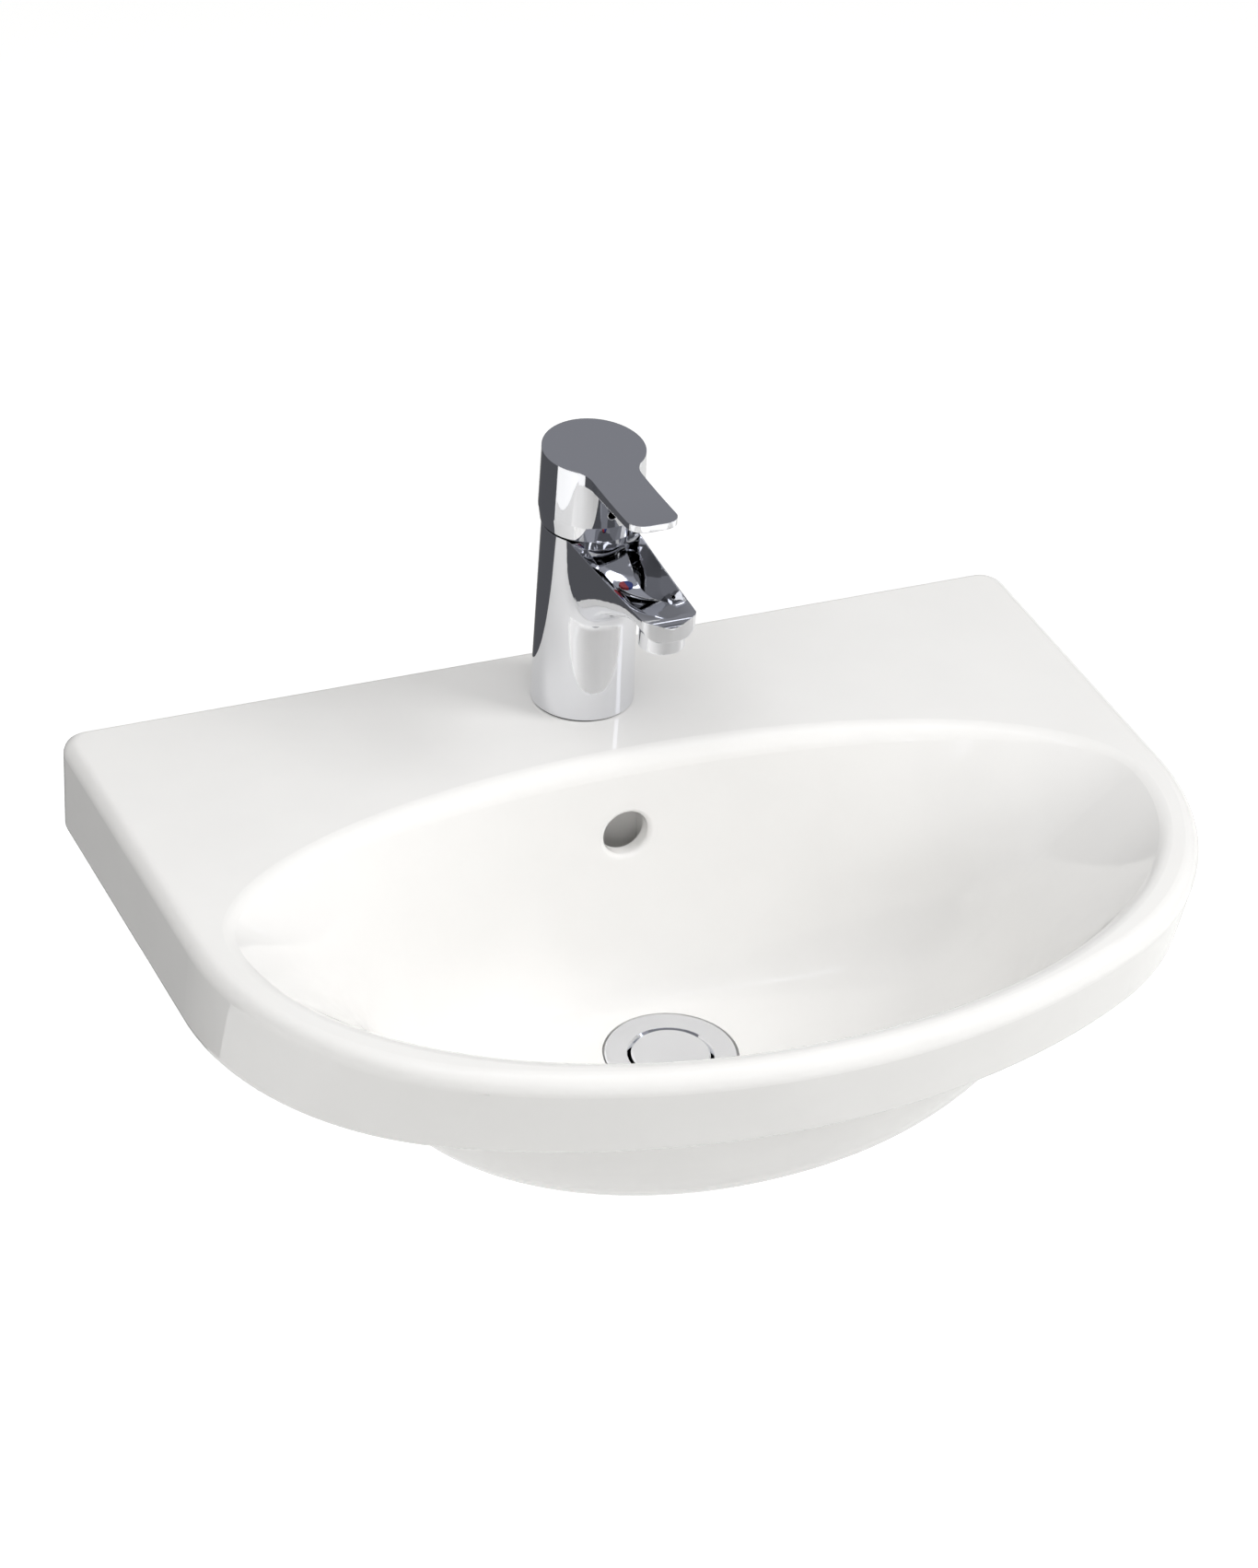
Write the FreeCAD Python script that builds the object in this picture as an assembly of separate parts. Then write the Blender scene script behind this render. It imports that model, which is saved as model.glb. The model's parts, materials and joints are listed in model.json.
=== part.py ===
import FreeCAD, Part
import math
import os

# Wall-hung hand basin with a single-lever mixer tap and a push-open waste.
# Millimetres.  X runs to the right, Y into the wall and Z up.  The origin lies on
# the wall, midway between the two wall bolts.

V = FreeCAD.Vector
X_AXIS = V(1, 0, 0)
Y_AXIS = V(0, 1, 0)
Z_AXIS = V(0, 0, 1)
os.makedirs("parts", exist_ok=True)

overrun = 5.0                     # how far every cutter passes its face
run_gap = 0.1                     # radial gap of parts that turn or slide
thread_gap = 0.05                 # radial gap of a screwed pair
seat_gap = 0.3                    # gap of parts that only lie beside each other

# Basin: outline, rim and apron
basin_w = 560.0                   # width along the wall
basin_d = 400.0                   # wall to the front of the rim
skirt_d = 382.4                   # wall to the front of the apron's lower edge
apron_h = 56.7                    # rim to the apron's lower edge
side_taper = 1.3                  # degrees by which each side runs inward
corner_r = 177.0                  # front corners in plan, at the rim
skirt_corner_r = 161.0            # front corners in plan, at the lower edge
front_r = 407.0                   # front arc in plan
rear_corner_r = 16.0
rim_roll = 8.0                    # rounding of the outer rim
skirt_roll = 6.0                  # rounding of the lower edge
grind = 6.0                       # ground off the back to make it flat
deck_t = 16.0
apron_wall = 14.0
bolt_drop = 95.0                  # rim above the wall bolts

# Basin: bowl
bowl_depth = 143.5                # rim to the floor beside the waste
bowl_half_w = 192.0               # half width below the shoulders
shoulder_w = 63.0                 # extra half width at the rim
shoulder_h = 80.0                 # height over which the shoulders spread
bowl_rear = 118.0                 # wall to the bowl's rear edge
bowl_front = 360.0                # wall to the bowl's front, below its shoulder
front_shoulder = 20.0             # extra length of the bowl at the front rim
front_lip_h = 66.0                # height over which that length is lost
bowl_mid = 215.0                  # wall to the widest place of the bowl
bowl_edge_r = 11.0                # soft edge between deck and bowl
floor_r = 38.0                    # flat floor round the waste
shell_half_w = 205.0              # the same sizes for the underside of the bowl
shell_rear = 104.0
shell_front = 375.0
shell_depth = 170.0
shell_shoulder_h = 66.0
shell_start = 8.0                 # the underside starts inside the deck
shoulder_bend = 2.0               # exponents of the bowl's curves
side_bend = 2.5
front_bend = 2.5
shell_front_bend = 2.07
rear_bend = 2.4
plan_bend = 2.05                  # squareness of the bowl in plan
shell_plan_bend = 2.03
ring_points = 40                  # points on each ring of the bowl
ring_turns = 8                    # rings down the shoulders, and again down to the floor

# Basin: back, overflow and holes
bolt_spacing = 280.0
bolt_hole_r = 7.0
back_half_w = 190.0
back_t = 14.0
back_below = 30.0                 # back panel below the bolts
cheek_t = 12.0
cheek_reach = 165.0               # wall to the front of the side cheeks
overflow_r = 13.0
overflow_edge_r = 2.5
overflow_drop = 48.0              # rim to the middle of the overflow hole
duct_wall = 9.0
duct_gap = 15.0
duct_half_w = 16.0
duct_top = 30.0                   # rim to the top of the overflow duct
waste_y = 191.4                   # wall to the waste
waste_hole_r = 23.25
recess_r = 37.0
recess_depth = 3.5
boss_r = 42.0
boss_wall = 9.0                   # under the overflow duct
duct_h = 16.0                     # height of the duct where it meets the waste

# Tap: body and spout
tap_y = 50.4                      # wall to the tap's axis
tap_hole_r = 17.5
body_base_r = 28.4
body_top_r = 26.3
body_h = 109.0
body_edge = 1.2
body_foot = 0.3                   # body above the deck, on its seal
base_cavity_r = 22.0
base_cavity_h = 38.0
base_seal_t = 3.0
base_seal_r = 27.0
spout_reach = 98.0                # axis to axis, tap to aerator
spout_nose = 13.5                 # aerator's axis to the front of the spout
spout_root_half_w = 20.6          # straight sides, from the tap's axis to the front
spout_tip_half_w = 14.8
spout_nose_r = 28.0               # front of the spout in plan
spout_nose_corner = 5.0
spout_front_r = 5.0               # rounding of the upper front edge
spout_root_low = 56.0             # underside at the tap's axis
spout_tip_low = 97.6
spout_lip = 98.4                  # flat face round the aerator
spout_square = 3.2                # squareness of the spout's lower half
spout_points = 17                 # points on each section of the spout
spout_neck = 14.0                 # soft join of spout and body
# sections of the spout: place along it and rise of its underside
spout_shares = ((0.0, 0.0), (0.24, 0.15), (0.36, 0.4), (0.45, 0.55), (0.56, 0.7), (0.67, 0.85),
                (0.79, 0.98), (0.9, 1.0), (1.04, 1.0))
# trough in the spout's top: place along it, half width of its floor and drop of the floor
trough_drop = 12.5
trough_half_w = 10.5
trough_wide = 0.6                 # the trough's walls run on past the spout's sides
trough_rise_share = 0.1           # rise of the round floor at its sides, as a share of its half width
trough_shares = ((0.19, 1.0, 0.48), (0.25, 0.93, 0.62), (0.35, 0.76, 0.88), (0.45, 0.6, 1.0),
                 (0.56, 0.55, 0.95), (0.67, 0.66, 0.75), (0.77, 0.8, 0.47), (0.87, 0.8, 0.22),
                 (0.96, 0.5, 0.02), (1.02, 0.3, -0.11))
waterway_r = 2.4
way_drop = 14.0                   # waterway below the cartridge seat
waterway_shares = ((0.1, 0.0), (0.495, 0.754), (0.755, 0.931), (0.918, 1.052))
mark_r = 3.6                      # hot and cold mark
mark_t = 2.0
mark_reach = 50.0
mark_slit = 0.1
mark_proud = 0.7

# Tap: inlets and fixing
inlet_r = 4.5
inlet_depth = 14.0
inlet_half_gap = 9.0
inlet_front = 3.0
stud_r = 4.0
stud_rear = 10.0
stud_below = 62.0                 # deck to the stud's lower end
clamp_r = 25.0
clamp_slot_half_w = 15.0
clamp_slot_rear = 3.0
clamp_rubber_t = 4.0
clamp_plate_t = 3.0
clamp_nut_flats = 13.0
clamp_nut_h = 20.0

# Tap: cartridge
seat_z = 66.0                     # cartridge seat above the deck
cartridge_r = 17.5
cartridge_bore_r = 14.6
cartridge_lift = 0.5              # housing above the seat, on its seals
cartridge_top = 100.0
cartridge_lip_t = 3.0
cartridge_lip_r = 11.6
cartridge_base_t = 3.5
disc_t = 4.0
fixed_disc_r = 14.4
moving_disc_r = 12.0
port_r = 2.6                      # the two inlet ports
port_half_gap = 7.0
port_front = 4.5
outlet_r = 4.0
outlet_rear = 6.0
pocket_half_w = 8.5              # mixing pocket under the moving disc
pocket_front = 6.5
pocket_rear = 2.5
port_seal_wire = 1.4
port_seal_t = 2.0
carrier_t = 3.0
carrier_block = 13.0
carrier_block_h = 4.5
rotor_neck_r = 11.5
rotor_neck_out = 2.0              # neck above the housing
rotor_slot_half_l = 8.0
pivot_z = 92.0
pivot_pin_r = 1.5
pivot_pin_half_l = 12.0
stem_w = 8.0
stem_l = 44.0                     # pivot to the stem's top
stem_hub_r = 4.6
foot_r = 3.0                      # roller foot that moves the disc
foot_l = 8.0
foot_arm = 9.0                    # pivot to the foot's middle
lever_tilt = 25.0                 # degrees from shut to full flow
nut_r = 21.0
nut_low = 93.0
nut_high = 105.0
nut_lip_r = 12.5
collar_r = 23.8
collar_low = 104.0
collar_high = 110.2
collar_plate_t = 2.7
collar_hole_r = 15.0

# Tap: lever
cap_low = 110.6
cap_low_r = 27.0
cap_band_r = 28.4                 # widest place of the cap, above its tapered foot
cap_band = 119.5
cap_top_r = 27.6
cap_inner_r = 26.2
cap_ceiling = 146.5
lever_back_z = 155.4              # top of the lever at its back, middle and tip
lever_mid_z = 151.4
lever_tip_z = 152.2
lever_mid_reach = 30.0
lever_reach = 85.8
paddle_half_w = 13.9
paddle_tip_r = 9.0
paddle_neck_r = 16.0
paddle_root_t = 8.0
paddle_tip_t = 3.6
boss_rod_r = 8.0
boss_rod_low = 27.0               # pivot to the underside of the lever's socket
grub_r = 2.5
grub_l = 6.0
grub_z = 127.0
grub_clear = 0.8

# Tap: aerator
aerator_bore_r = 11.05
aerator_bore_top = 102.0
aerator_r = 12.2
aerator_low = 88.3
aerator_thread_r = 11.0
aerator_thread_top = 100.9
aerator_inner_r = 9.5
aerator_seal_t = 1.0
aerator_edge = 0.8
insert_recess = 1.0
insert_hole_r = 0.9
insert_rings = 3
insert_pitch = 2.6

# Waste
flange_r = 36.0
flange_t = 2.8
flange_seal_t = 1.2
flange_dish = 0.8                 # flange sinks towards its mouth
mouth_r = 23.7
mouth_depth = 6.5
waste_neck_r = 22.9
waste_neck_l = 12.0
waste_tube_r = 20.95
waste_bore_r = 18.0
waste_end = 216.0                 # rim to the lower end of the tail
tail_relief = 0.5                 # groove in the tail's thread, below the backnut
tail_relief_w = 1.5
window_w = 10.0
window_h = 9.0
windows = 4
hub_r = 9.0
hub_t = 6.0
spider_arms = 3
spider_arm_w = 4.0
gasket_r = 33.0
gasket_t = 5.0
slip_r = 32.0
slip_t = 1.5
backnut_flats = 58.0
backnut_h = 9.0
plug_r = 21.5
plug_t = 3.5
plug_edge = 1.0
plug_seal_r = 18.8
plug_seal_t = 2.2
stem_rod_r = 5.0
piston_r = 6.5
piston_l = 13.0
guide_r = 9.0
guide_h = 24.0
guide_floor = 3.0
guide_stud_r = 3.9
spring_r = 5.2
spring_wire = 0.5
spring_turns = 4
spring_steps = 16                 # lengths in each turn of the spring

# Places that follow from the sizes
rim_z = bolt_drop                 # the deck lies at rim height
tap_top = V(0, -tap_y, rim_z)     # tap axis on the deck
waste_top = V(0, -waste_y, rim_z)  # waste axis at rim height
half_tilt = lever_tilt / 2        # the spindle leans this far forward when shut
foot_shut = foot_arm * math.sin(math.radians(half_tilt))
recess_floor = bowl_depth + recess_depth
duct_foot = bowl_depth + duct_wall + duct_h
boss_foot = duct_foot + boss_wall
backnut_foot = boss_foot + gasket_t + slip_t + backnut_h
hub_low = boss_foot + hub_t       # waste spider, below the boss
way_low = seat_z - way_drop
trough_low = body_h - trough_drop
grub_start = tap_top + V(0, -stem_w / 2 - grub_clear - (grub_z - pivot_z) * math.tan(math.radians(half_tilt)),
                         grub_z)


def cylinder(r, z0, z1, at=tap_top, dx=0.0, dy=0.0):
    """Upright cylinder between two heights above a base point."""
    return Part.makeCylinder(r, z1 - z0, at + V(dx, dy, z0), Z_AXIS)


def ring(ro, ri, z0, z1, at=tap_top, dx=0.0, dy=0.0):
    inner = cylinder(ri, z0 - overrun, z1 + overrun, at, dx, dy)
    return cylinder(ro, z0, z1, at, dx, dy).cut(inner)


def block(x0, x1, y0, y1, z0, z1, at=V(0, 0, 0)):
    return Part.makeBox(x1 - x0, y1 - y0, z1 - z0, at + V(x0, y0, z0))


def hexagon(flats, z0, z1, at, dx=0.0, dy=0.0):
    r = flats / math.sqrt(3)
    corners = [V(r * math.cos(math.radians(60 * k)), r * math.sin(math.radians(60 * k)), 0)
               for k in range(7)]
    face = Part.Face(Part.makePolygon([at + V(dx, dy, z0) + c for c in corners]))
    return face.extrude(V(0, 0, z1 - z0))


def turned(points, at):
    """Solid turned round the upright axis through a base point, from (r, z) points."""
    wire = Part.makePolygon([at + V(r, 0, z) for r, z in points + points[:1]])
    return Part.Face(wire).revolve(at, Z_AXIS, 360)


def side_plate(points, half_w):
    """Flat outline of (y, z) points in the middle plane, thickened both ways along X."""
    wire = Part.makePolygon([V(-half_w, y, z) for y, z in points + points[:1]])
    return Part.Face(wire).extrude(V(2 * half_w, 0, 0))


def bore(start, end, r):
    """Straight round passage between two points, with round ends."""
    along = end - start
    tube = Part.makeCylinder(r, along.Length, start, along)
    return tube.fuse([Part.makeSphere(r, start), Part.makeSphere(r, end)])


def lean(shape, degrees):
    """Turn a lever part forward about the spindle pivot."""
    out = shape.copy()
    out.rotate(tap_top + V(0, 0, pivot_z), X_AXIS, degrees)
    return out


def save(name, shape):
    shape.exportStep("parts/" + name + ".step")
    print(name, "solids", len(shape.Solids), "valid", shape.isValid(), "cm3", round(shape.Volume / 1000, 2))


# Basin: outline and slab

def outline(depth, corner, inset, rear, rear_r, z):
    """Plan outline of the basin at one height: sides and front moved inward by inset,
    its back line at rear, joined by rear corners of radius rear_r."""
    tau = math.radians(side_taper)
    half_w = basin_w / 2
    inward = V(-math.cos(tau), math.sin(tau), 0)
    ahead = V(-math.sin(tau), -math.cos(tau), 0)
    front_mid = V(0, front_r - depth, 0)
    start = V(half_w, 0, 0) + inward * corner - front_mid
    b = start.dot(ahead)
    along = -b + math.sqrt(b * b - start.dot(start) + (front_r - corner) ** 2)
    corner_mid = front_mid + start + ahead * along
    turn = (corner_mid - front_mid).normalize()
    side_end = corner_mid - inward * (corner - inset)
    corner_top = corner_mid + (turn - inward).normalize() * (corner - inset)
    front_start = front_mid + turn * (front_r - inset)
    rear_mid_y = rear - rear_r
    rear_mid_x = half_w + rear_mid_y * math.tan(tau) - (inset + rear_r) / math.cos(tau)
    rear_mid = V(rear_mid_x, rear_mid_y, 0)
    rear_end = V(rear_mid_x, rear, 0)
    rear_top = rear_mid + (Y_AXIS - inward).normalize() * rear_r
    side_start = rear_mid - inward * rear_r

    def place(p, side):
        return V(side * p.x, p.y, z)

    def arc(p, q, t, side):
        return Part.Arc(place(p, side), place(q, side), place(t, side)).toShape()

    def line(p, q, side):
        return Part.makeLine(place(p, side), place(q, side))

    nose = V(0, front_mid.y - front_r + inset, z)
    front = Part.Arc(place(front_start, 1), nose, place(front_start, -1)).toShape()
    right = [arc(rear_end, rear_top, side_start, 1), line(side_start, side_end, 1),
             arc(side_end, corner_top, front_start, 1)]
    left = [arc(front_start, corner_top, side_end, -1), line(side_end, side_start, -1),
            arc(side_start, rear_top, rear_end, -1)]
    back = Part.makeLine(place(rear_end, -1), place(rear_end, 1))
    return Part.Wire(right + [front] + left + [back])


def make_slab():
    """Deck and apron in one, with rolled upper and lower edges."""
    share = rim_roll / (apron_h - rim_roll)
    depth = basin_d + (basin_d - skirt_d) * share
    corner = corner_r + (corner_r - skirt_corner_r) * share
    wires = [outline(skirt_d, skirt_corner_r, 0.0, grind, rear_corner_r, rim_z - apron_h),
             outline(depth, corner, 0.0, grind, rear_corner_r, rim_z)]
    slab = Part.makeLoft(wires, True, True)
    for z, roll in ((rim_z, rim_roll), (rim_z - apron_h, skirt_roll)):
        edges = [e for e in slab.Edges if max(abs(e.BoundBox.ZMin - z), abs(e.BoundBox.ZMax - z)) < seat_gap]
        slab = slab.makeFillet(roll, edges)
    return slab


# Basin: bowl

def curve_share(d, bend):
    """Part of a bowl's width that is left at a depth share d."""
    return (1 - max(d, 0.0) ** bend) ** (1 / bend) if d < 1 else 0.0


def bowl_ring(half_w, rear, front, mid, bend, z):
    """Closed curve round the bowl at one height."""
    points = []
    for k in range(ring_points):
        a = 2 * math.pi * k / ring_points
        c = math.cos(a)
        s = math.sin(a)
        reach = (mid - rear) if s > 0 else (front - mid)
        x = half_w * math.copysign(abs(c) ** (2 / bend), c)
        y = -mid + reach * math.copysign(abs(s) ** (2 / bend), s)
        points.append(V(x, y, z))
    curve = Part.BSplineCurve()
    curve.interpolate(Points=points, PeriodicFlag=True)
    return Part.Wire(curve.toShape())


def shoulder(drop, inner):
    height = shoulder_h if inner else shell_shoulder_h
    return max(1 - drop / height, 0.0) ** shoulder_bend


def front_lip(drop):
    """Share of the bowl's extra length at the front: upright at the rim, and again below the shoulders."""
    return (1 + math.cos(math.pi * min(max(drop, 0.0) / front_lip_h, 1.0))) / 2


def bowl_sizes(drop, inner):
    """Half width, rear, front and widest place of the bowl at a depth below the rim."""
    d = drop / (bowl_depth if inner else shell_depth)
    wide = (bowl_half_w if inner else shell_half_w) - floor_r
    rear = bowl_rear if inner else shell_rear
    front = bowl_front if inner else shell_front
    bend = front_bend if inner else shell_front_bend
    lip = front_shoulder if inner else 0.0
    half_w = floor_r + wide * curve_share(d, side_bend) + shoulder_w * shoulder(drop, inner)
    rear_y = waste_y - floor_r - (waste_y - floor_r - rear) * curve_share(d, rear_bend)
    front_y = waste_y + floor_r + (front - waste_y - floor_r) * curve_share(d, bend)
    front_y += lip * front_lip(drop)
    mid = waste_y + (bowl_mid - waste_y) * curve_share(d, side_bend)
    return half_w, rear_y, front_y, mid


def bowl_solid(inner, first_drop):
    """Bowl as a solid, from a depth near the rim down to its floor."""
    depth = bowl_depth if inner else shell_depth
    bend = plan_bend if inner else shell_plan_bend
    drops = [first_drop + (shoulder_h - first_drop) * k / ring_turns for k in range(ring_turns)]
    for k in range(ring_turns + 1):
        a = math.radians(90 * k / ring_turns)
        drops.append(shoulder_h + (depth - shoulder_h) * math.sin(a))
    rings = [bowl_ring(*bowl_sizes(drop, inner), bend, rim_z - drop) for drop in drops]
    return Part.makeLoft(rings, True, False)


def rear_wall_y(drop):
    return -bowl_sizes(drop, True)[1]


def duct_plate(grow):
    """Overflow duct behind the bowl, down to the waste; grown to make its outside."""
    drops = [duct_top, overflow_drop + overflow_r + duct_wall, (overflow_drop + bowl_depth) / 2]
    front = [(rear_wall_y(drop) + duct_wall - grow, rim_z - drop) for drop in drops]
    back = [(y + duct_gap + 2 * grow, z) for y, z in front]
    front[0] = (front[0][0], front[0][1] + grow)
    back[0] = (back[0][0], back[0][1] + grow)
    knee_y = rear_wall_y(bowl_depth) + duct_wall - grow
    heel_y = knee_y + duct_gap / 2 + 2 * grow
    end_y = -waste_y + waste_hole_r - duct_wall
    top = rim_z - bowl_depth - duct_wall + grow
    foot = rim_z - duct_foot - grow
    low = [(knee_y, top), (end_y, top), (end_y, foot), (heel_y, foot)]
    return side_plate(front + low + back[::-1], duct_half_w + grow)


def make_cheek(side):
    """Web between the back panel and the bowl, on one side."""
    top = rim_z - deck_t / 2
    low = rim_z - apron_h
    points = [(0.0, top), (-cheek_reach, top), (-cheek_reach, low), (0.0, -back_below)]
    cheek = side_plate(points, cheek_t / 2)
    cheek.translate(X_AXIS * side * (back_half_w - cheek_t / 2))
    return cheek


def make_basin():
    hollow_line = outline(skirt_d, skirt_corner_r, apron_wall, -back_t, rear_corner_r,
                          rim_z - apron_h - overrun)
    hollow = Part.Face(hollow_line).extrude(V(0, 0, apron_h + overrun - deck_t))
    back = block(-back_half_w, back_half_w, -back_t, grind, -back_below, rim_z - deck_t / 2)
    boss = cylinder(boss_r, -boss_foot, -bowl_depth, waste_top)
    basin = make_slab().cut(hollow)
    basin = basin.fuse([bowl_solid(False, shell_start), back, boss, make_cheek(1), make_cheek(-1),
                        duct_plate(duct_wall)])
    basin = basin.cut(bowl_solid(True, -overrun))
    lip = [e for e in basin.Edges
           if abs(e.BoundBox.ZMin - rim_z) < seat_gap and abs(e.BoundBox.ZMax - rim_z) < seat_gap
           and e.BoundBox.YMax < -bowl_rear + seat_gap and e.BoundBox.YMin > -bowl_front - 2 * front_shoulder
           and e.BoundBox.XLength > bowl_half_w]
    basin = basin.makeFillet(bowl_edge_r, [max(lip, key=lambda e: e.Length)])
    mouth_y = rear_wall_y(overflow_drop)
    hole = Part.makeCylinder(overflow_r, 2 * overflow_r + duct_wall + duct_gap / 2,
                             V(0, mouth_y - 2 * overflow_r, rim_z - overflow_drop), Y_AXIS)
    cuts = [hole, duct_plate(0.0),
            cylinder(waste_hole_r, -boss_foot - overrun, -bowl_depth, waste_top),
            cylinder(recess_r, -recess_floor, -bowl_depth + overrun, waste_top),
            cylinder(tap_hole_r, -deck_t - overrun, overrun),
            block(-basin_w, basin_w, 0.0, grind + overrun, -basin_w, basin_w)]
    for side in (-1, 1):
        start = V(side * bolt_spacing / 2, -back_t - overrun, 0)
        cuts.append(Part.makeCylinder(bolt_hole_r, back_t + 2 * overrun, start, Y_AXIS))
    basin = basin.cut(cuts)
    rims = [e for e in basin.Edges if on_overflow_mouth(e, mouth_y)]
    return basin.makeFillet(overflow_edge_r, rims)


def on_overflow_mouth(edge, mouth_y):
    """The overflow hole's edge on the bowl side."""
    box = edge.BoundBox
    inside = box.XLength < 2 * overflow_r + seat_gap and box.ZLength > overflow_r / 2
    mid = V(0, mouth_y, rim_z - overflow_drop)
    return inside and (box.Center - mid).Length < overflow_r and box.YMax < mouth_y + duct_wall / 2


# Tap body

def spout_half_w(reach):
    return spout_root_half_w + (spout_tip_half_w - spout_root_half_w) * reach / (spout_reach + spout_nose)


def spout_ring(reach, low):
    """Section of the spout at a distance in front of the tap's axis: flat top, round underside."""
    half_w = spout_half_w(reach)
    points = []
    for k in range(spout_points):
        a = math.pi * k / (spout_points - 1)
        c = math.cos(a)
        x = half_w * math.copysign(abs(c) ** (2 / spout_square), c)
        z = body_h - (body_h - low) * abs(math.sin(a)) ** (2 / spout_square)
        points.append(tap_top + V(x, -reach, z))
    curve = Part.BSplineCurve()
    curve.interpolate(Points=points)
    return Part.Wire([curve.toShape(), Part.makeLine(points[-1], points[0])])


def nose_plan():
    """Plan of the spout with its rounded front, as tall as the tap."""
    front = spout_reach + spout_nose
    sweep = math.sqrt(spout_nose_r ** 2 - spout_tip_half_w ** 2)
    corner = front - spout_nose_r + sweep
    root = V(spout_half_w(0.0) + thread_gap, 0, 0)
    end = V(spout_half_w(corner) + thread_gap, -corner, 0)
    sides = [tap_top + V(side * p.x, p.y, 0) for side, p in ((-1, root), (-1, end), (1, end), (1, root))]
    arc = Part.Arc(sides[1], tap_top - Y_AXIS * front, sides[2]).toShape()
    lines = [Part.makeLine(sides[k], sides[k + 1 - len(sides)]) for k in (0, 2, 3)]
    plan = Part.Face(Part.Wire([lines[0], arc] + lines[1:])).extrude(V(0, 0, body_h + overrun))
    corners = [e for e in plan.Edges
               if e.BoundBox.ZLength > body_h and e.BoundBox.YMax < sides[1].y + overrun]
    return plan.makeFillet(spout_nose_corner, corners)


def nose_round():
    """What is taken off the spout's upper front edge to make it round."""
    front = -tap_y - spout_reach - spout_nose - overrun
    top = rim_z + body_h + overrun
    mid = V(-body_base_r, front + overrun + spout_front_r, top - overrun - spout_front_r)
    rod = Part.makeCylinder(spout_front_r, 2 * body_base_r, mid, X_AXIS)
    return side_plate([(front, mid.z), (mid.y, mid.z), (mid.y, top), (front, top)], body_base_r).cut(rod)


def on_spout_join(edge):
    """The line on which the spout leaves the body."""
    return min(edge.BoundBox.XLength, edge.BoundBox.ZLength) > spout_tip_half_w


def make_spout():
    front = spout_reach + spout_nose
    rings = [spout_ring(at * front, spout_root_low + (spout_tip_low - spout_root_low) * rise)
             for at, rise in spout_shares]
    return Part.makeLoft(rings, True, False).common(nose_plan()).cut(nose_round())


def make_trough():
    """Open channel that is taken out of the spout's top, with sloping walls."""
    front = spout_reach + spout_nose
    rings = []
    for at, width, drop in trough_shares:
        edge = spout_half_w(at * front) + trough_wide
        floor = body_h - trough_drop * drop
        crease = trough_half_w * width
        half = [(crease, floor + crease * trough_rise_share), (edge, body_h), (edge, body_h + overrun)]
        corners = [tap_top + V(x, -at * front, z) for x, z in half + [(-x, z) for x, z in half[::-1]]]
        arc = Part.Arc(corners[-1], tap_top + V(0, -at * front, floor), corners[0]).toShape()
        walls = [Part.makeLine(p, q) for p, q in zip(corners, corners[1:])]
        rings.append(Part.Wire([arc] + walls))
    return Part.makeLoft(rings, True, False)


def waterway():
    """Passages from the cartridge seat to the aerator."""
    knots = [tap_top + V(0, -spout_reach * s, way_low + (spout_lip - way_low) * z)
             for s, z in waterway_shares]
    start = tap_top + V(0, outlet_rear, way_low)
    runs = [cylinder(outlet_r, way_low, seat_z + overrun, dy=outlet_rear), bore(start, knots[0], waterway_r)]
    return runs + [bore(a, b, waterway_r) for a, b in zip(knots, knots[1:])]


def make_tap_body():
    side = [(body_base_r - body_edge, body_foot), (body_base_r, body_foot + body_edge), (body_top_r, body_h)]
    body = turned([(0.0, body_foot)] + side + [(0.0, body_h)], tap_top)
    body = body.fuse(make_spout())
    joins = [e for e in body.Edges if on_spout_join(e)]
    body = body.makeFillet(spout_neck, joins).cut(make_trough())
    floor = base_cavity_h
    cuts = [cylinder(base_cavity_r, -overrun, floor),
            cylinder(base_seal_r + run_gap, -overrun, base_seal_t),
            cylinder(cartridge_r + run_gap, seat_z, body_h + overrun),
            cylinder(nut_r + thread_gap, nut_low - seat_gap, body_h + overrun),
            cylinder(collar_r + seat_gap, collar_low, body_h + overrun),
            cylinder(stud_r + thread_gap, floor - overrun, floor + inlet_depth, dy=stud_rear),
            cylinder(aerator_bore_r, spout_lip - overrun, aerator_bore_top, dy=-spout_reach),
            cylinder(aerator_r + seat_gap, aerator_low, spout_lip, dy=-spout_reach),
            cylinder(mark_r + thread_gap, trough_low - mark_t, trough_low + overrun, dy=-mark_reach)]
    for side in (-1, 1):
        inlet = V(side * inlet_half_gap, -inlet_front, floor + inlet_depth - port_r)
        port = V(side * port_half_gap, -port_front, seat_z)
        cuts.append(cylinder(inlet_r, floor - overrun, floor + inlet_depth, dx=inlet.x, dy=inlet.y))
        cuts.append(bore(tap_top + inlet, tap_top + port, port_r))
    return body.cut(cuts + waterway())


def make_mark(side):
    """Half of the round hot and cold mark."""
    disc = cylinder(mark_r, trough_low - mark_t, trough_low + mark_proud, dy=-mark_reach)
    x0, x1 = sorted((side * mark_slit / 2, side * 2 * mark_r))
    half = block(x0, x1, -tap_y - mark_reach - 2 * mark_r, -tap_y - mark_reach + 2 * mark_r,
                 rim_z, rim_z + body_h)
    return disc.common(half)


# Cartridge

seal_names = ("hot_port_seal", "cold_port_seal", "outlet_port_seal")


def ports(z0, z1, r_in, r_out):
    """Two inlet ports and the outlet port of the cartridge."""
    holes = [cylinder(r_in, z0, z1, dx=side * port_half_gap, dy=-port_front) for side in (-1, 1)]
    return holes + [cylinder(r_out, z0, z1, dy=outlet_rear)]


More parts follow.
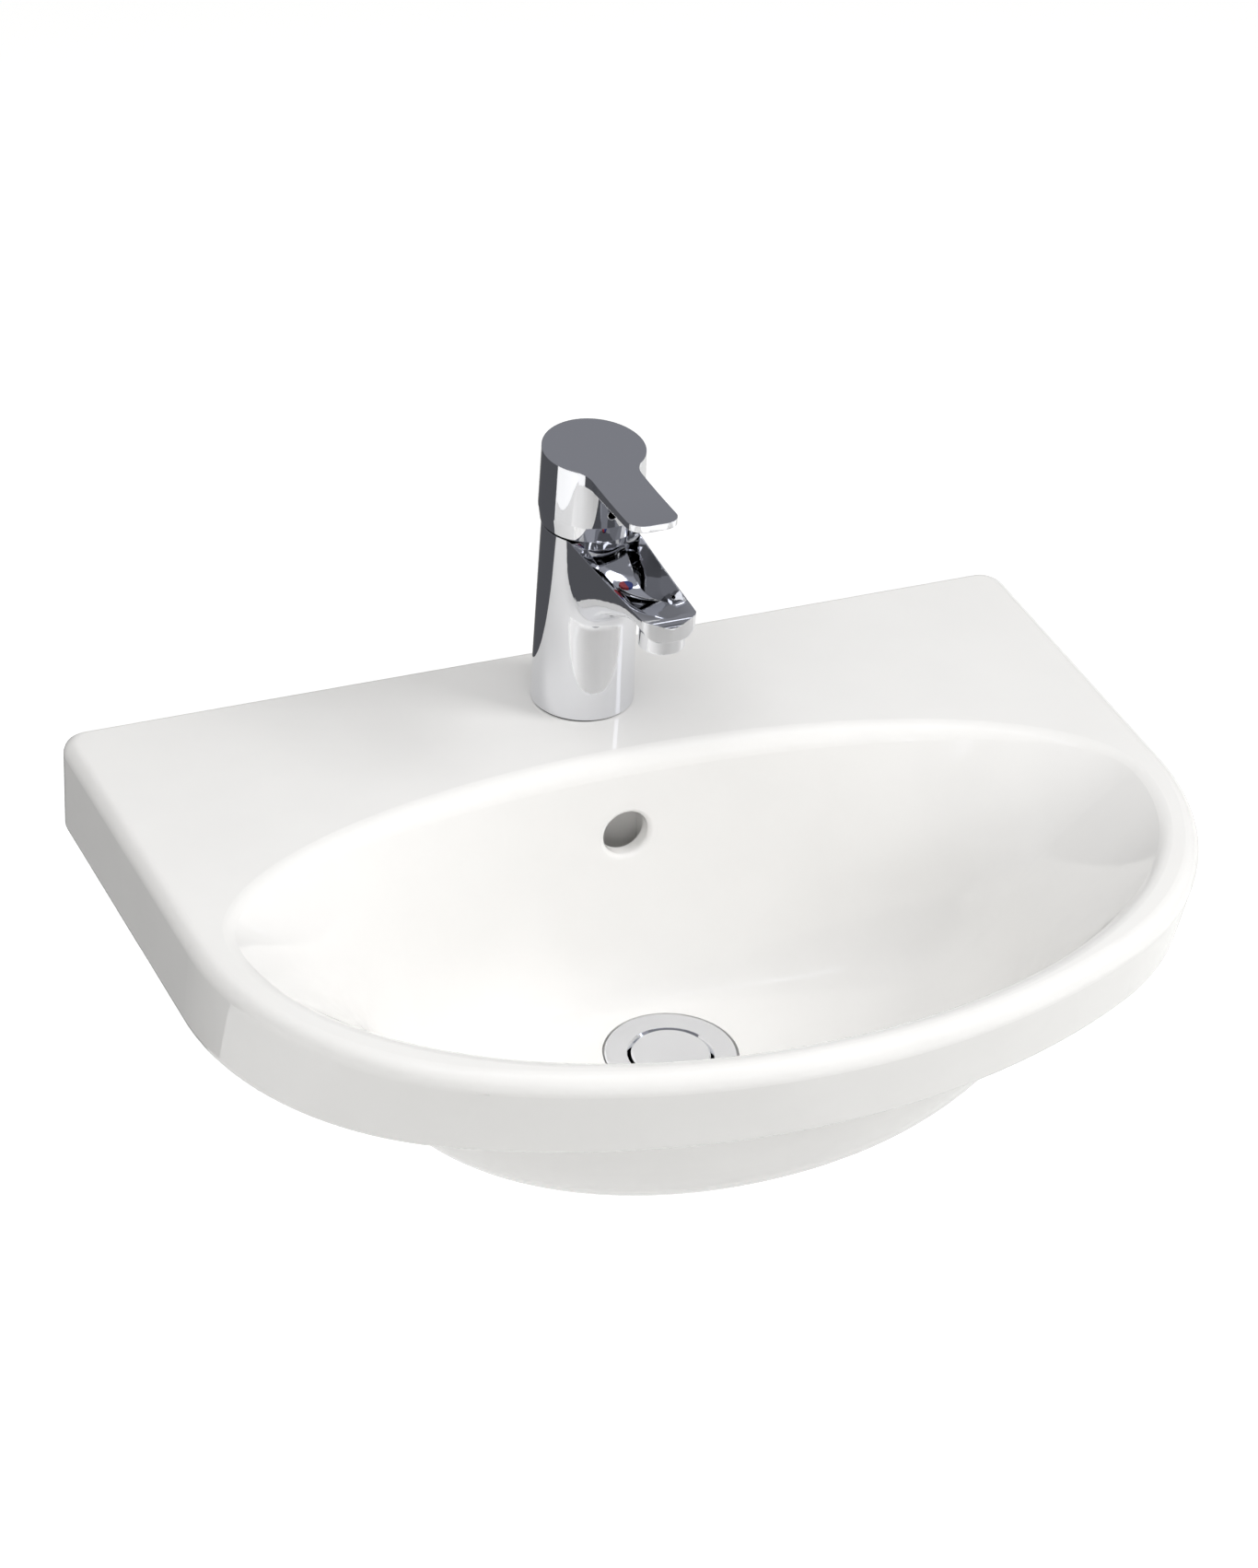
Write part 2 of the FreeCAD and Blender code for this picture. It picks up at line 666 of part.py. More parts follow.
def make_cartridge():
    low = seat_z + cartridge_lift
    base_top = low + cartridge_base_t
    seal_top = seat_z + port_seal_t
    disc_top = base_top + disc_t
    lip_low = cartridge_top - cartridge_lip_t
    housing = ring(cartridge_r, cartridge_bore_r, low, lip_low).fuse(
        ring(cartridge_r, cartridge_lip_r, lip_low, cartridge_top))
    base = cylinder(cartridge_bore_r - run_gap, low, base_top)
    grown = port_seal_wire + 2 * run_gap
    base = base.cut(ports(low - overrun, base_top + overrun, port_r, outlet_r)
                    + ports(low - overrun, seal_top, port_r + grown, outlet_r + grown))
    seal_outsides = ports(seat_z, seal_top, port_r + port_seal_wire, outlet_r + port_seal_wire)
    seal_holes = ports(seat_z - overrun, seal_top + overrun, port_r + run_gap, outlet_r + run_gap)
    fixed = cylinder(fixed_disc_r, base_top, disc_top).cut(
        ports(base_top - overrun, disc_top + overrun, port_r, outlet_r))
    save("cartridge_housing", housing.removeSplitter())
    save("cartridge_base", base)
    for name, outside, hole in zip(seal_names, seal_outsides, seal_holes):
        save(name, outside.cut(hole))
    save("fixed_ceramic_disc", fixed)
    moving_top = disc_top + disc_t
    moving = cylinder(moving_disc_r, disc_top, moving_top, dy=foot_shut)
    pocket = block(-pocket_half_w, pocket_half_w, outlet_rear - pocket_front, outlet_rear + pocket_rear,
                   disc_top - overrun, disc_top + disc_t / 2, tap_top)
    save("moving_ceramic_disc", moving.cut(pocket))
    plate_top = moving_top + carrier_t
    half = carrier_block / 2
    socket = block(-half, half, foot_shut - half, foot_shut + half,
                   plate_top, plate_top + carrier_block_h, tap_top)
    carrier = cylinder(moving_disc_r, moving_top, plate_top, dy=foot_shut).fuse(socket)
    grip = foot_r + run_gap
    slot = block(-cartridge_r, cartridge_r, foot_shut - grip, foot_shut + grip,
                 pivot_z - foot_arm - grip, plate_top + 2 * carrier_block_h, tap_top)
    save("disc_carrier", carrier.cut(slot))
    make_rotor(plate_top)


def make_rotor(plate_top):
    low = plate_top + seat_gap
    lip_low = cartridge_top - cartridge_lip_t
    half = carrier_block / 2 + seat_gap
    travel = abs(foot_shut) + seat_gap
    stem_half = stem_w / 2 + run_gap
    rotor = cylinder(cartridge_bore_r - run_gap, low, lip_low - run_gap).fuse(
        cylinder(rotor_neck_r, lip_low - run_gap, cartridge_top + rotor_neck_out))
    pocket = block(-half, half, -half - travel, half + travel, low - overrun,
                   plate_top + carrier_block_h + seat_gap, tap_top)
    slot = block(-stem_half, stem_half, -rotor_slot_half_l, rotor_slot_half_l, low - overrun,
                 cartridge_top + rotor_neck_out + overrun, tap_top)
    pin_start = tap_top + V(-pivot_pin_half_l, 0, pivot_z)
    pin_hole = Part.makeCylinder(pivot_pin_r + thread_gap, 2 * pivot_pin_half_l, pin_start, X_AXIS)
    save("cartridge_rotor", rotor.cut([pocket, slot, pin_hole]))
    save("spindle_pin", Part.makeCylinder(pivot_pin_r, 2 * pivot_pin_half_l, pin_start, X_AXIS))


def make_spindle():
    half = stem_w / 2
    mid = tap_top + V(0, 0, pivot_z)
    stem = block(-half, half, -half, half, 0.0, stem_l, mid)
    hub = Part.makeCylinder(stem_hub_r, stem_w, mid - X_AXIS * half, X_AXIS)
    arm = block(-half, half, -foot_r / 2, foot_r / 2, -foot_arm, 0.0, mid)
    foot = Part.makeCylinder(foot_r, foot_l, mid + V(-foot_l / 2, 0, -foot_arm), X_AXIS)
    hole = Part.makeCylinder(pivot_pin_r + thread_gap, 2 * stem_w, mid - X_AXIS * stem_w, X_AXIS)
    return lean(stem.fuse([hub, arm, foot]).cut(hole), half_tilt)


def make_nut():
    low = ring(nut_r, cartridge_r + run_gap, nut_low, cartridge_top)
    return low.fuse(ring(nut_r, nut_lip_r, cartridge_top, nut_high)).removeSplitter()


def make_collar():
    plate_low = collar_high - collar_plate_t
    side = ring(collar_r, nut_r + seat_gap, collar_low, plate_low)
    return side.fuse(ring(collar_r, collar_hole_r, plate_low, collar_high)).removeSplitter()


# Lever

def lever_top_cutter():
    """Large cylinder across the lever that leaves its gently hollowed top."""
    a = V(0, cap_top_r, lever_back_z)
    b = V(0, -lever_mid_reach, lever_mid_z)
    c = V(0, -lever_reach, lever_tip_z)
    circle = Part.Circle(a, b, c)
    start = circle.Center + tap_top - X_AXIS * 2 * cap_low_r
    return Part.makeCylinder(circle.Radius, 2 * 2 * cap_low_r, start, X_AXIS)


def paddle_outline():
    """Plan of the paddle, with hollow necks where it leaves the round cap."""
    hw = paddle_half_w
    nr = paddle_neck_r
    neck_y = -math.sqrt((cap_top_r + nr) ** 2 - (hw + nr) ** 2)
    neck_mid = V(hw + nr, neck_y, 0)
    on_cap = neck_mid * (cap_top_r / (cap_top_r + nr))
    on_side = V(hw, neck_y, 0)
    to_cap = (on_cap - neck_mid).normalize()
    to_side = (on_side - neck_mid).normalize()
    neck_top = neck_mid + (to_cap + to_side).normalize() * nr
    tip_y = -lever_reach
    corner = V(hw - paddle_tip_r, tip_y + paddle_tip_r, 0)
    corner_top = corner + V(1, -1, 0).normalize() * paddle_tip_r
    side_end = V(hw, tip_y + paddle_tip_r, 0)
    tip_end = V(hw - paddle_tip_r, tip_y, 0)

    def place(p, side):
        return tap_top + V(side * p.x, p.y, cap_low)

    edges = []
    for side in (1, -1):
        edges.append(Part.Arc(place(on_cap, side), place(neck_top, side), place(on_side, side)).toShape())
        edges.append(Part.makeLine(place(on_side, side), place(side_end, side)))
        edges.append(Part.Arc(place(side_end, side), place(corner_top, side), place(tip_end, side)).toShape())
    edges.append(Part.makeLine(place(tip_end, 1), place(tip_end, -1)))
    edges.append(Part.makeLine(place(on_cap, 1), place(on_cap, -1)))
    return Part.Face(Part.Wire(Part.__sortEdges__(edges)))


def make_lever():
    top = lever_back_z + overrun
    cap = turned([(0.0, cap_low), (cap_low_r, cap_low), (cap_band_r, cap_band), (cap_top_r, top), (0.0, top)],
                 tap_top)
    inside = turned([(0.0, cap_low - overrun), (cap_inner_r, cap_low - overrun), (cap_inner_r, cap_low),
                     (cap_inner_r - cap_band_r + cap_top_r, cap_ceiling), (0.0, cap_ceiling)], tap_top)
    under = [(0.0, lever_mid_z - paddle_root_t), (-lever_reach - overrun, lever_tip_z - paddle_tip_t),
             (-lever_reach - overrun, top), (0.0, top)]
    band = side_plate([(y - tap_y, z + rim_z) for y, z in under], cap_band_r)
    paddle = paddle_outline().extrude(V(0, 0, top - cap_low)).common(band)
    lever = cap.fuse(paddle).cut(lever_top_cutter())
    rod = lean(cylinder(boss_rod_r, pivot_z + boss_rod_low, top), half_tilt)
    lever = lever.cut(inside).fuse(rod.common(inside))
    half = stem_w / 2 + thread_gap
    socket = block(-half, half, -half, half, 0.0, stem_l + seat_gap, tap_top + V(0, 0, pivot_z))
    screw_way = Part.makeCylinder(grub_r + thread_gap, cap_band_r + overrun, grub_start, -Y_AXIS)
    return lever.cut([lean(socket, half_tilt), screw_way]).removeSplitter()


def make_grub():
    screw = Part.makeCylinder(grub_r, grub_l, grub_start - Y_AXIS * run_gap, -Y_AXIS)
    key_at = grub_start - Y_AXIS * (grub_l / 2)
    r = grub_r / 2
    corners = [key_at + V(r * math.cos(math.radians(60 * k)), 0, r * math.sin(math.radians(60 * k)))
               for k in range(7)]
    key = Part.Face(Part.makePolygon(corners)).extrude(-Y_AXIS * grub_l)
    return screw.cut(key)


# Aerator

def make_aerator():
    low = aerator_low
    lip = spout_lip - thread_gap
    mid = tap_top - Y_AXIS * spout_reach
    housing = ring(aerator_r, aerator_inner_r, low, lip, mid).fuse(
        ring(aerator_thread_r, aerator_inner_r, lip, aerator_thread_top, mid))
    foot = [e for e in housing.Edges
            if e.BoundBox.ZMax < mid.z + low + seat_gap and e.BoundBox.XLength > 2 * aerator_thread_r]
    save("aerator_housing", housing.makeFillet(aerator_edge, foot))
    insert_low = low + insert_recess
    insert = cylinder(aerator_inner_r - run_gap, insert_low, aerator_thread_top, mid)
    holes = []
    for n in range(insert_rings + 1):
        count = max(6 * n, 1)
        for k in range(count):
            a = 2 * math.pi * k / count
            holes.append(cylinder(insert_hole_r, insert_low - overrun, aerator_thread_top + overrun, mid,
                                  insert_pitch * n * math.cos(a), insert_pitch * n * math.sin(a)))
    save("aerator_insert", insert.cut(holes))
    save("aerator_seal", ring(aerator_thread_r - run_gap, aerator_inner_r - insert_pitch / 2,
                              aerator_thread_top, aerator_thread_top + aerator_seal_t, mid))


# Tap fixing under the deck

def clamp(z0, z1):
    """Horseshoe that leaves the hoses free at the front."""
    slot = block(-clamp_slot_half_w, clamp_slot_half_w, -2 * clamp_r, clamp_slot_rear, z0 - overrun,
                 z1 + overrun, tap_top)
    hole = cylinder(stud_r + thread_gap, z0 - overrun, z1 + overrun, dy=stud_rear)
    return cylinder(clamp_r, z0, z1).cut([slot, hole])


def make_fixing():
    rubber_low = -deck_t - clamp_rubber_t
    plate_low = rubber_low - clamp_plate_t
    nut_foot = plate_low - clamp_nut_h
    save("tap_base_seal", ring(base_seal_r, base_cavity_r + seat_gap, 0.0, base_seal_t))
    save("fixing_stud", cylinder(stud_r, -stud_below, base_cavity_h + inlet_depth - seat_gap, dy=stud_rear))
    save("fixing_rubber_washer", clamp(rubber_low, -deck_t))
    save("fixing_clamp_plate", clamp(plate_low, rubber_low))
    nut = hexagon(clamp_nut_flats, nut_foot, plate_low, tap_top, dy=stud_rear)
    thread = cylinder(stud_r + thread_gap, nut_foot - overrun, plate_low + overrun, dy=stud_rear)
    save("fixing_nut", nut.cut(thread))


# Waste

def make_waste_body():
    under = -recess_floor + flange_seal_t
    top = under + flange_t
    neck_end = under - waste_neck_l
    body = turned([(mouth_r, top - flange_dish), (flange_r - flange_dish, top),
                   (flange_r, top - flange_dish), (flange_r, under),
                   (waste_neck_r, under), (waste_neck_r, neck_end), (waste_tube_r, neck_end),
                   (waste_tube_r, -backnut_foot), (waste_tube_r - tail_relief, -backnut_foot),
                   (waste_tube_r - tail_relief, -backnut_foot - tail_relief_w),
                   (waste_tube_r, -backnut_foot - tail_relief_w),
                   (waste_tube_r, -waste_end), (waste_bore_r, -waste_end),
                   (waste_bore_r, top - flange_dish - mouth_depth)], waste_top)
    window_mid = -(bowl_depth + duct_wall + duct_h / 2)
    gaps = []
    for k in range(windows):
        gap = block(waste_bore_r / 2, waste_hole_r + overrun, -window_w / 2, window_w / 2,
                    window_mid - window_h / 2, window_mid + window_h / 2, waste_top)
        gap.rotate(waste_top, Z_AXIS, 90 + 360 * k / windows)
        gaps.append(gap)
    body = body.cut(gaps)
    arms = [cylinder(hub_r, -hub_low, -hub_low + hub_t, waste_top)]
    for k in range(spider_arms):
        arm = block(0.0, (waste_bore_r + waste_tube_r) / 2, -spider_arm_w / 2, spider_arm_w / 2,
                    -hub_low, -hub_low + hub_t, waste_top)
        arm.rotate(waste_top, Z_AXIS, 360 * k / spider_arms)
        arms.append(arm)
    hole = cylinder(guide_stud_r + thread_gap, -hub_low - overrun, -hub_low + hub_t + overrun, waste_top)
    return body.fuse(arms).cut(hole)


def make_waste_seals():
    save("waste_flange_seal", ring(flange_r - flange_dish, waste_hole_r + seat_gap, -recess_floor,
                                   -recess_floor + flange_seal_t, waste_top))
    gasket_low = -boss_foot - gasket_t
    slip_low = gasket_low - slip_t
    bore_r = waste_tube_r + thread_gap
    save("waste_gasket", ring(gasket_r, bore_r, gasket_low, -boss_foot, waste_top))
    save("waste_slip_washer", ring(slip_r, bore_r, slip_low, gasket_low, waste_top))
    nut = hexagon(backnut_flats, slip_low - backnut_h, slip_low, waste_top)
    hole = cylinder(bore_r, slip_low - backnut_h - overrun, slip_low + overrun, waste_top)
    save("waste_backnut", nut.cut(hole))


def make_plug():
    top = -recess_floor + flange_seal_t + flange_t
    under = top - plug_t
    plug = turned([(0.0, top), (plug_r - plug_edge, top), (plug_r, top - plug_edge),
                   (plug_r - plug_edge, under), (0.0, under)], waste_top)
    guide_low = -hub_low + hub_t
    guide_top = guide_low + guide_h
    piston_low = guide_top - piston_l
    spring_low = guide_low + guide_floor
    save("waste_plug", plug)
    save("plug_seal", ring(plug_seal_r, stem_rod_r + thread_gap, under - plug_seal_t, under, waste_top))
    save("plug_stem", cylinder(piston_r, piston_low, guide_top, waste_top).fuse(
        cylinder(stem_rod_r, guide_top, under, waste_top)).removeSplitter())
    guide = cylinder(guide_r, guide_low, guide_top, waste_top).cut(
        cylinder(piston_r + run_gap, spring_low, guide_top + overrun, waste_top))
    save("click_guide", guide.fuse(cylinder(guide_stud_r, -hub_low, guide_low, waste_top)))
    height = piston_low - spring_low - 2 * spring_wire
    save("click_spring", make_spring(waste_top + V(0, 0, spring_low + spring_wire), height))


def make_spring(start, height):
    """Coil spring of six-sided wire, joined from short straight lengths."""
    sections = []
    slope = height / spring_turns / (2 * math.pi * spring_r)
    for k in range(spring_steps * spring_turns + 1):
        a = 2 * math.pi * k / spring_steps
        out = V(math.cos(a), math.sin(a), 0)
        along = V(-math.sin(a), math.cos(a), slope).normalize()
        mid = start + out * spring_r + Z_AXIS * (height * k / (spring_steps * spring_turns))
        corners = [math.radians(60 * n) for n in range(7)]
        sections.append(Part.makePolygon([
            mid + (out * math.cos(c) + along.cross(out) * math.sin(c)) * spring_wire for c in corners]))
    return Part.makeLoft(sections, True, True)


save("basin", make_basin())
save("tap_body", make_tap_body())
save("hot_mark", make_mark(-1))
save("cold_mark", make_mark(1))
make_cartridge()
save("spindle", make_spindle())
save("cartridge_nut", make_nut())
save("tap_collar", make_collar())
save("lever_handle", make_lever())
save("lever_grub_screw", make_grub())
make_aerator()
make_fixing()
save("waste_body", make_waste_body())
make_waste_seals()
make_plug()
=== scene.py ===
# %% [markdown]
# # A wall-hung hand basin with a mixer tap
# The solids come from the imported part, in metres, and stay where they are. This lesson gives each of them
# the finish of the real material, and then sets up the camera and a plain studio.

import json
import math

import bpy
from mathutils import Matrix, Vector

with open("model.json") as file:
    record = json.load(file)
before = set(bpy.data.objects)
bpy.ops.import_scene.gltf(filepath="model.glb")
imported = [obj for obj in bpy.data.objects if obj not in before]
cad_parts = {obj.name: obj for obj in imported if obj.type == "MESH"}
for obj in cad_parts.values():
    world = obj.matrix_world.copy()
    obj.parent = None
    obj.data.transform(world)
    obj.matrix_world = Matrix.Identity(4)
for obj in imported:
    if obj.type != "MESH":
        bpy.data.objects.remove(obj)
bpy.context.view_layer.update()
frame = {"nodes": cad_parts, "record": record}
nodes = frame["nodes"]
scene = bpy.context.scene

# %% [markdown]
# ## Camera
# The photograph was taken from the front left, well above the rim, with a long lens that keeps the sides
# nearly parallel. A camera could be placed by eye. This one was fitted to the outlines of the rim and the
# tap instead, so it has a place, a target and a small roll, and its lens follows from the fitted focal
# length.

# %% The fitted lens
sensor_width = 36.0
focal_pixels = 4829.68
picture_width = 1366
lens = bpy.data.cameras.new("camera")
lens.sensor_fit = "HORIZONTAL"
lens.sensor_width = sensor_width
lens.lens = focal_pixels * sensor_width / picture_width
lens.clip_end = 100
print("lens:", round(lens.lens, 2), "mm")

# %% The fitted place
camera_place = Vector((-0.8379, -1.93785, 1.35925))
camera_target = Vector((-0.03308, -0.190, 0.12927))
camera_roll = math.radians(3.24)
forward = (camera_target - camera_place).normalized()
level_right = forward.cross(Vector((0, 0, 1))).normalized()
level_up = level_right.cross(forward)
right = level_right * math.cos(camera_roll) + level_up * math.sin(camera_roll)
up = level_up * math.cos(camera_roll) - level_right * math.sin(camera_roll)

camera = bpy.data.objects.new("camera", lens)
scene.collection.objects.link(camera)
turn = Matrix((right, up, -forward)).transposed().to_4x4()
camera.matrix_world = Matrix.Translation(camera_place) @ turn
scene.camera = camera
scene.view_settings.view_transform = "Standard"
print("camera is", round((camera_target - camera_place).length, 2), "m from the tap")

# %% [markdown]
# ## Colour
# A colour that is picked on a screen is stored as sRGB, but a renderer adds up light, which is linear.
# Numbers could be converted by hand each time. One small function does it here, so that every colour
# below stays readable as hex.

# %% From a hex colour to linear light
mm = 0.001


def linear(hex_colour):
    shares = [int(hex_colour[i:i + 2], 16) / 255 for i in (1, 3, 5)]
    return [s / 12.92 if s <= 0.04045 else ((s + 0.055) / 1.055) ** 2.4 for s in shares] + [1.0]


print("mid grey #808080 is", round(linear("#808080")[0], 3), "in linear light")

# %% [markdown]
# ## Nodes
# A material is a tree of nodes. Written out in full, each node takes a handful of lines for its settings
# and links. A single helper adds any node: its settings come as a table, its inputs as named values, and
# an input that is given another node's output is linked to it. An input without a name of its own is
# given by its number.

# %% Add a node, start a material, dress a piece
def add_node(tree, kind, settings=None, **inputs):
    node = tree.nodes.new(kind)
    for name, value in (settings or {}).items():
        setattr(node, name, value)
    for name, value in inputs.items():
        name = name.replace("_", " ").strip()
        socket = node.inputs[int(name)] if name.isdigit() else node.inputs[name]
        if isinstance(value, bpy.types.NodeSocket):
            tree.links.new(value, socket)
        else:
            socket.default_value = value
    return node


def start_material(name):
    material = bpy.data.materials.new(name)
    material.use_nodes = True
    material.node_tree.nodes.clear()
    place = add_node(material.node_tree, "ShaderNodeTexCoord").outputs["Object"]
    return material, material.node_tree, place


def dress(material, *names):
    for name in names:
        mesh = nodes[name].data
        mesh.materials.clear()
        mesh.materials.append(material)
    print(material.name, "on", ", ".join(names))


print("helpers ready for", len(nodes), "nodes")

# %% [markdown]
# ## Vitreous china
# The basin is cast in liquid clay, sprayed with an opaque white glaze and fired. The glaze melts into a
# glassy skin, so the eye sees a warm white body under sharp, clear reflections. A plain white Principled
# shader looks like plastic, so the glaze gets three quiet patterns. Its thickness varies in clouds of
# about 60 mm, which tints the white. The molten glaze sets with a faint waviness like orange peel, 7 mm
# long and far under a hair high, and the clouds also change the gloss a little.

# %% Patterns in the glaze
china, tree, place = start_material("glazed_vitreous_china")
cloud = add_node(tree, "ShaderNodeTexNoise", Vector=place, Scale=1 / (60 * mm), Detail=3.0).outputs["Fac"]
peel = add_node(tree, "ShaderNodeTexNoise", Vector=place, Scale=1 / (7 * mm), Detail=1.0).outputs["Fac"]
waves = add_node(tree, "ShaderNodeBump", Strength=0.04, Distance=0.3 * mm, Height=peel).outputs["Normal"]
white = add_node(tree, "ShaderNodeMix", {"data_type": "RGBA"}, _0=cloud, _6=linear("#f2f1ef"),
                 _7=linear("#f9f8f6")).outputs[2]
gloss = add_node(tree, "ShaderNodeMapRange", Value=cloud, To_Min=0.02, To_Max=0.07).outputs["Result"]
print(china.name, "has", len(tree.nodes), "pattern nodes")

# %% The glaze itself
# A glaze is a glass, so its index of refraction is that of glass, and its reflections are almost sharp.
glaze = add_node(tree, "ShaderNodeBsdfPrincipled", Base_Color=white, Roughness=gloss, IOR=1.52, Normal=waves)
add_node(tree, "ShaderNodeOutputMaterial", Surface=glaze.outputs["BSDF"])
dress(china, "basin")

# %% [markdown]
# ## Chrome on brass
# The tap and the waste are brass, ground and polished and then plated with nickel and chromium. What the
# eye sees is a cool mirror: almost all of its colour comes from the room. Polishing leaves edges a little
# round. That could be modelled with many small fillets, and a Bevel node gives the mirror the same fine
# round edge without new faces. Water that dries on it leaves a faint change of gloss, in spots of about
# 9 mm.

# %% Chrome plating
chrome, tree, place = start_material("chrome_plated_brass")
drops = add_node(tree, "ShaderNodeTexNoise", Vector=place, Scale=1 / (9 * mm), Detail=4.0).outputs["Fac"]
haze = add_node(tree, "ShaderNodeMapRange", Value=drops, To_Min=0.015, To_Max=0.04).outputs["Result"]
edge = add_node(tree, "ShaderNodeBevel", {"samples": 4}, Radius=0.7 * mm).outputs["Normal"]
plate = add_node(tree, "ShaderNodeBsdfPrincipled", Base_Color=linear("#ebecef"), Metallic=1.0, Roughness=haze,
                 Normal=edge)
add_node(tree, "ShaderNodeOutputMaterial", Surface=plate.outputs["BSDF"])
dress(chrome, "tap_body", "tap_collar", "lever_handle", "aerator_housing", "waste_body", "waste_plug")

# %% [markdown]
# ## Bare brass and steel
# The fixings and the spindle are turned on a lathe and left bare, under the deck and inside the tap. A
# lathe tool leaves fine rings, so the eye sees thin lines across each piece and a blurred, stretched
# reflection. The real rings are about 0.15 mm apart, too fine to show, so they are drawn 0.6 mm apart. A
# Wave texture in bands along Z draws them. Its bands are a tenth of pi apart at a scale of 1, and the
# scale follows from that.

# %% Turned metals
band_spacing = math.pi / 10
ring_gap = 0.6 * mm


def turned_metal(name, dark, light, rough_low, rough_high):
    material, tree, place = start_material(name)
    rings = add_node(tree, "ShaderNodeTexWave", {"bands_direction": "Z"}, Vector=place,
                     Scale=band_spacing / ring_gap, Distortion=0.6, Detail=2.0).outputs["Fac"]
    stain = add_node(tree, "ShaderNodeTexNoise", Vector=place, Scale=1 / (4 * mm), Detail=4.0).outputs["Fac"]
    tint = add_node(tree, "ShaderNodeMix", {"data_type": "RGBA"}, _0=stain, _6=linear(dark),
                    _7=linear(light))
    rough = add_node(tree, "ShaderNodeMapRange", Value=rings, To_Min=rough_low, To_Max=rough_high)
    groove = add_node(tree, "ShaderNodeBump", Strength=0.2, Distance=0.02 * mm, Height=rings)
    metal = add_node(tree, "ShaderNodeBsdfPrincipled", Base_Color=tint.outputs[2], Metallic=1.0,
                     Roughness=rough.outputs["Result"], Normal=groove.outputs["Normal"])
    add_node(tree, "ShaderNodeOutputMaterial", Surface=metal.outputs["BSDF"])
    print(name, "has rings", round(ring_gap / mm, 2), "mm apart")
    return material


brass = turned_metal("turned_brass", "#9c7a36", "#d2b069", 0.22, 0.38)
steel = turned_metal("turned_stainless_steel", "#a0a0a0", "#c8c8c6", 0.25, 0.4)

# %% [markdown]
# ## Rubber, acetal and ceramic
# Seals are moulded in black rubber, the cartridge's parts in white and grey acetal, and its two discs are
# alumina, fired and lapped flat. Moulded skins copy the fine texture of the mould, so the eye sees a soft
# sheen with a little grain. Lapped alumina is much smoother and reflects more, because its index of
# refraction is high. One recipe with a grain size, a grain height and a gloss makes them all. Grain under
# about 0.8 mm would not show, so none is finer.

# %% Moulded and lapped pieces
def moulded(name, dark, light, roughness, ior, grain, height):
    material, tree, place = start_material(name)
    grains = add_node(tree, "ShaderNodeTexNoise", Vector=place, Scale=1 / grain, Detail=3.0).outputs["Fac"]
    tint = add_node(tree, "ShaderNodeMix", {"data_type": "RGBA"}, _0=grains, _6=linear(dark),
                    _7=linear(light))
    skin = add_node(tree, "ShaderNodeBump", Strength=0.3, Distance=height, Height=grains).outputs["Normal"]
    body = add_node(tree, "ShaderNodeBsdfPrincipled", Base_Color=tint.outputs[2], Roughness=roughness,
                    IOR=ior, Normal=skin)
    add_node(tree, "ShaderNodeOutputMaterial", Surface=body.outputs["BSDF"])
    print(name, "has grain of", round(grain / mm, 2), "mm")
    return material


rubber = moulded("moulded_black_rubber", "#161617", "#2b2b2c", 0.62, 1.52, 0.8 * mm, 0.05 * mm)
white_acetal = moulded("moulded_white_acetal", "#dfded9", "#f1efeb", 0.38, 1.48, 2.0 * mm, 0.02 * mm)
grey_acetal = moulded("moulded_grey_acetal", "#75777a", "#929497", 0.4, 1.48, 2.0 * mm, 0.02 * mm)
alumina = moulded("lapped_alumina_ceramic", "#e8e3d6", "#f7f3e9", 0.18, 1.76, 1.5 * mm, 0.01 * mm)

# %% [markdown]
# ## Hot and cold marks
# The spout carries one small round mark, half red and half blue, moulded in coloured plastic and pressed
# in. The eye sees two clear, slightly glossy colours with a faint flow of pigment, so the same recipe
# serves with more gloss.

# %% Marks
hot_red = moulded("red_moulded_plastic", "#842028", "#9c2a35", 0.3, 1.5, 1.5 * mm, 0.01 * mm)
cold_blue = moulded("blue_moulded_plastic", "#1c2b6e", "#2b3d85", 0.3, 1.5, 1.5 * mm, 0.01 * mm)

# %% [markdown]
# ## Which piece has which finish
# Naming thirty pieces again would be long and easy to get wrong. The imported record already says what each
# piece is made of, so the finishes are handed out by that.

# %% Dress the remaining pieces
slot_finish = {"brass": brass, "stainless_steel": steel, "black_rubber": rubber, "alumina_ceramic": alumina,
               "white_acetal": white_acetal, "grey_acetal": grey_acetal, "red_plastic": hot_red,
               "blue_plastic": cold_blue}
for slot, finish in slot_finish.items():
    dress(finish, *[row["node"] for row in frame["record"]["subparts"] if row["material_slot"] == slot])

# %% [markdown]
# ## Paper and sky
# The photograph has a white surround. A large bright lamp could burn it out, but that would wash out the
# basin too. Instead a sheet of white paper lies well below the basin and takes its soft shadow, and a
# little glow that only the eye and the mirrors can see lifts the paper to white. The sky works in the
# same way: it is white to look at and gives half that much light.

# %% What the eye and the mirrors see
def seen_directly(tree):
    path = add_node(tree, "ShaderNodeLightPath")
    mirrors = add_node(tree, "ShaderNodeMath", {"operation": "MAXIMUM"}, _0=path.outputs["Is Glossy Ray"],
                       _1=path.outputs["Is Transmission Ray"])
    return add_node(tree, "ShaderNodeMath", {"operation": "MAXIMUM"}, _0=path.outputs["Is Camera Ray"],
                    _1=mirrors.outputs[0]).outputs[0]


def flat_sheet(name, corners, material):
    mesh = bpy.data.meshes.new(name)
    mesh.from_pydata(corners, [], [(0, 1, 2, 3)])
    mesh.materials.append(material)
    sheet = bpy.data.objects.new(name, mesh)
    scene.collection.objects.link(sheet)
    print(name, "reaches from", corners[0], "to", corners[2])
    return sheet


print("helpers ready for the paper and the sky")

